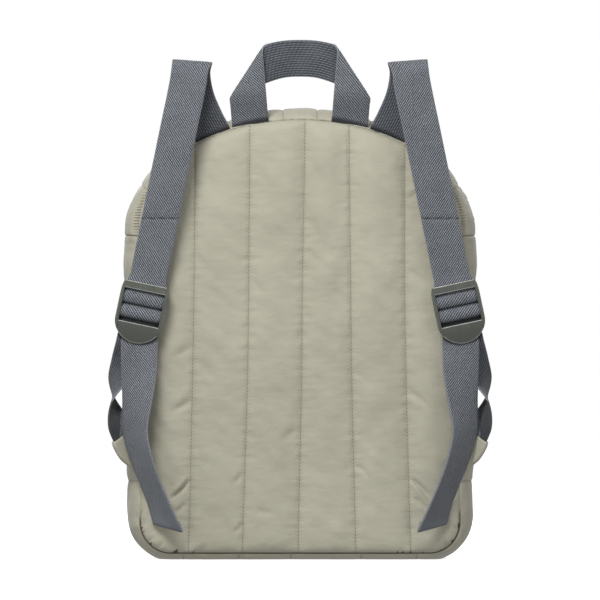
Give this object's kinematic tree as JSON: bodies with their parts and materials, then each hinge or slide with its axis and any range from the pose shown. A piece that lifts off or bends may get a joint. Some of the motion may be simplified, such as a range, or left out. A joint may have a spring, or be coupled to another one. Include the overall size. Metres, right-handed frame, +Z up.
{
  "type": "quilted puffer backpack",
  "caption": "Small upright backpack of quilted padded nylon with a zipped crown, webbing shoulder straps, ladder buckles and a carry handle",
  "frame": {"origin": "on the floor under the middle of the whole, straps included", "axes": "+Z up, -Y the side with the shoulder straps, +X to the right of someone who faces the straps"},
  "size_m": [0.3134, 0.1412, 0.4239],
  "materials": {
    "quilted_nylon": "matt beige nylon over padding, stitched into channels",
    "webbing": "slate grey twill webbing",
    "buckle_plastic": "satin grey-green moulded plastic",
    "zip": "beige woven tapes with grey moulded teeth"
  },
  "bodies": {
    "root": {"back_panel": "quilted_nylon", "front_panel": "quilted_nylon", "gusset_lower": "quilted_nylon", "gusset_upper_rear": "quilted_nylon", "gusset_upper_front": "quilted_nylon", "zip": "zip", "carry_handle": "webbing", "shoulder_strap_left": "webbing", "shoulder_strap_right": "webbing", "buckle_left": "buckle_plastic", "buckle_right": "buckle_plastic", "adjuster_left": "webbing", "adjuster_right": "webbing", "strap_tab_left": "quilted_nylon", "strap_tab_right": "quilted_nylon"}
  },
  "joints": []
}
